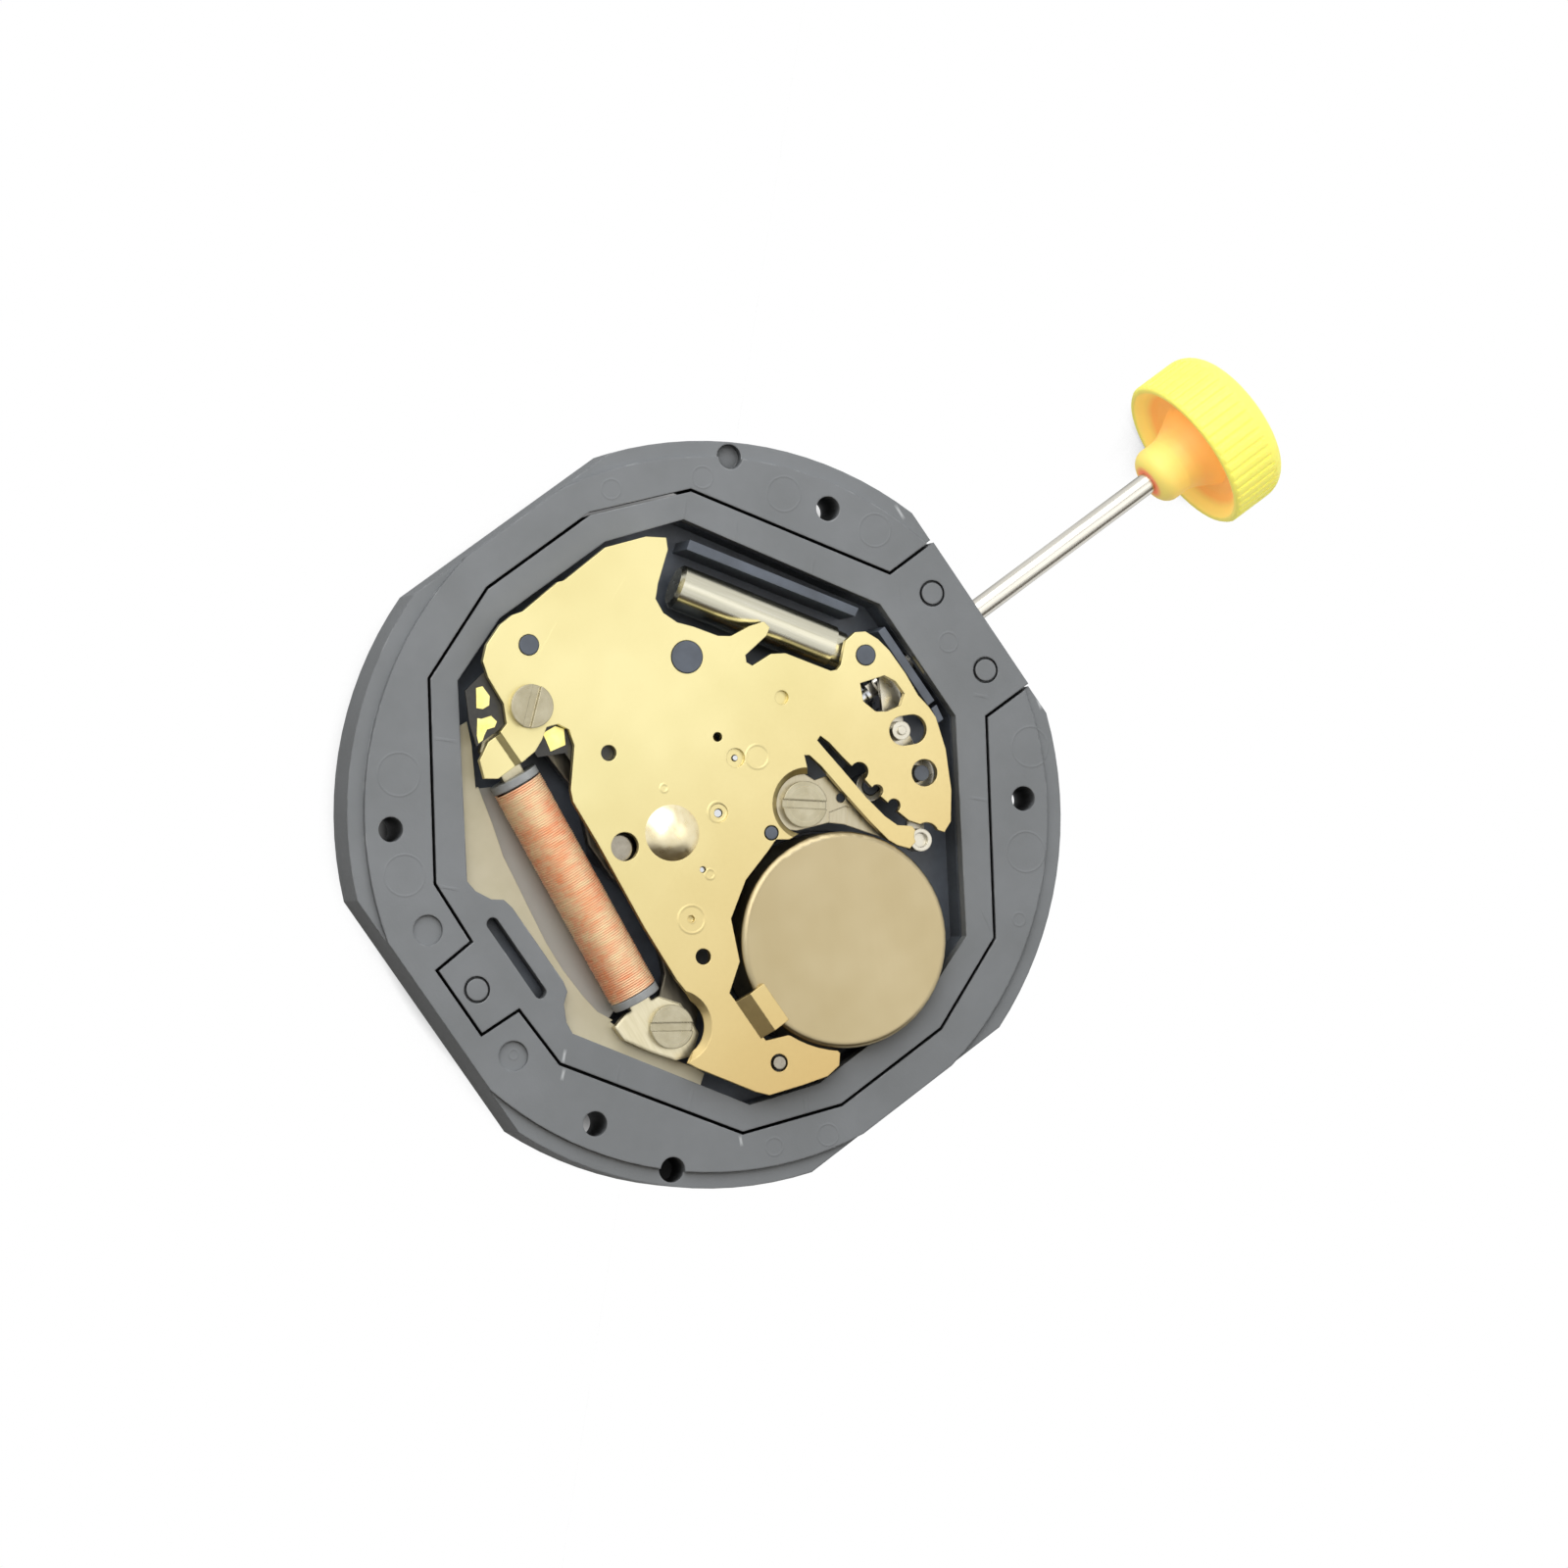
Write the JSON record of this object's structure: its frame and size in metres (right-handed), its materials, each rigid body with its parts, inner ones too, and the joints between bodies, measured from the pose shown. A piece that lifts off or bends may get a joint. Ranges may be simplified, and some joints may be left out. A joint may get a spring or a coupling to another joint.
{
  "type": "quartz watch movement",
  "caption": "Three-hand quartz watch movement with button cell, drive coil, plastic casing ring and long setting stem with a ribbed knob, shown from its battery side.",
  "frame": {"origin": "on the hands' axis, in the plane of the ring's face that the dial rests on", "axes": "+X runs out along the winding stem; +Z points out of the battery side, away from the hands"},
  "size_m": [0.0333, 0.022, 0.0052],
  "materials": {
    "ring_grey": "moulded, matte",
    "plate_slate": "moulded, matte",
    "film_beige": "insulating film",
    "bridge_gold": "thin gold plating over brass",
    "cap_gold": "polished",
    "cell_steel": "bright nickel plating",
    "seal_black": "nylon seal",
    "copper_wire": "enamelled copper",
    "bobbin_grey": "moulded",
    "soft_iron": "annealed",
    "screw_nickel": "polished",
    "nickel_plate": "nickel plated, satin",
    "lever_steel": "hardened, satin",
    "stem_steel": "polished",
    "knob_yellow": "moulded",
    "crystal_nickel": "nickel plated",
    "board_amber": "polyimide",
    "pad_gold": "gold plated",
    "chip_black": "potted",
    "brass_bush": "turned",
    "wheel_brass": "stamped",
    "pinion_steel": "turned",
    "motion_plastic": "moulded",
    "magnet_dark": "sintered"
  },
  "bodies": {
    "frame_body": {"casing_ring": "ring_grey", "inner_ring": "ring_grey", "main_plate": "plate_slate", "insulating_sheet": "film_beige", "train_bridge": "bridge_gold", "rotor_cap": "cap_gold", "battery_can": "cell_steel", "battery_gasket": "seal_black", "battery_cap": "cell_steel", "negative_contact": "bridge_gold", "coil_winding": "copper_wire", "coil_drum": "copper_wire", "coil_bobbin": "bobbin_grey", "coil_core": "soft_iron", "stator": "soft_iron", "centre_bush": "brass_bush", "clamp_plate": "nickel_plate", "circuit_board": "board_amber", "circuit_pads": "pad_gold", "circuit_chip": "chip_black", "crystal_can": "crystal_nickel", "crystal_leads": "crystal_nickel", "screw_posts": "brass_bush", "bridge_screw": "screw_nickel", "coil_screw": "screw_nickel", "clamp_screw": "screw_nickel", "steel_pins": "screw_nickel", "motion_cover": "nickel_plate", "cover_screws": "screw_nickel"},
    "rotor": {"rotor_magnet": "magnet_dark", "rotor_pinion": "pinion_steel"},
    "fifth": {"fifth_wheel": "wheel_brass", "fifth_pinion": "pinion_steel"},
    "seconds": {"seconds_wheel": "wheel_brass", "seconds_arbor": "pinion_steel"},
    "third": {"third_wheel": "wheel_brass", "third_pinion": "pinion_steel"},
    "centre": {"centre_wheel": "wheel_brass", "cannon_pinion": "pinion_steel"},
    "minute": {"minute_wheel": "motion_plastic"},
    "hour": {"hour_wheel": "wheel_brass"},
    "setting": {"setting_wheel": "pinion_steel"},
    "yoke_body": {"yoke": "lever_steel"},
    "clutch": {"clutch_wheel": "pinion_steel"},
    "stem": {"winding_stem": "stem_steel", "setting_knob": "knob_yellow"},
    "lever": {"setting_lever": "lever_steel"}
  },
  "joints": [
    {"name": "rotor_spin", "type": "hinge", "parent": "frame_body", "child": "rotor", "pos_m": [-0.00185, 0.00042, 0], "axis": [0, 0, 1], "continuous": true},
    {"name": "fifth_spin", "type": "hinge", "parent": "frame_body", "child": "fifth", "pos_m": [-0.00145, -0.00113, 0], "axis": [0, 0, 1], "continuous": true},
    {"name": "seconds_spin", "type": "hinge", "parent": "frame_body", "child": "seconds", "pos_m": [0, 0, 0], "axis": [0, 0, 1], "continuous": true},
    {"name": "third_spin", "type": "hinge", "parent": "frame_body", "child": "third", "pos_m": [0.00146, 0.00108, 0], "axis": [0, 0, 1], "continuous": true},
    {"name": "centre_spin", "type": "hinge", "parent": "frame_body", "child": "centre", "pos_m": [0, 0, 0], "axis": [0, 0, 1], "continuous": true},
    {"name": "minute_wheel_spin", "type": "hinge", "parent": "frame_body", "child": "minute", "pos_m": [0.00196, 0.0012, 0], "axis": [0, 0, 1], "continuous": true},
    {"name": "hour_spin", "type": "hinge", "parent": "frame_body", "child": "hour", "pos_m": [0, 0, 0], "axis": [0, 0, 1], "continuous": true},
    {"name": "setting_wheel_spin", "type": "hinge", "parent": "frame_body", "child": "setting", "pos_m": [0.00436, 0, 0], "axis": [0, 0, 1], "continuous": true},
    {"name": "clutch_shift", "type": "slide", "parent": "frame_body", "child": "yoke_body", "axis": [-1, 0, 0], "range_m": [0, 0.0003]},
    {"name": "stem_turn", "type": "hinge", "parent": "yoke_body", "child": "clutch", "pos_m": [0, 0, 0.0009], "axis": [1, 0, 0], "continuous": true},
    {"name": "stem_pull", "type": "slide", "parent": "clutch", "child": "stem", "axis": [1, 0, 0], "range_m": [0, 0.0011]},
    {"name": "lever_swing", "type": "hinge", "parent": "frame_body", "child": "lever", "pos_m": [0.0063, -0.0029, 0], "axis": [0, 0, 1], "range_deg": [-15.74, 0]}
  ],
  "couplings": [
    {"joint": "rotor_spin", "follows": "seconds_spin", "ratio": 30},
    {"joint": "fifth_spin", "follows": "seconds_spin", "ratio": -6},
    {"joint": "third_spin", "follows": "seconds_spin", "ratio": -0.13333},
    {"joint": "centre_spin", "follows": "seconds_spin", "ratio": 0.016667},
    {"joint": "minute_wheel_spin", "follows": "seconds_spin", "ratio": -0.0055556},
    {"joint": "hour_spin", "follows": "seconds_spin", "ratio": 0.0013889},
    {"joint": "setting_wheel_spin", "follows": "seconds_spin", "ratio": 0.01},
    {"joint": "clutch_shift", "follows": "stem_pull", "ratio": 0.27273},
    {"joint": "lever_swing", "follows": "stem_pull", "rad_per_m": -248.93}
  ]
}
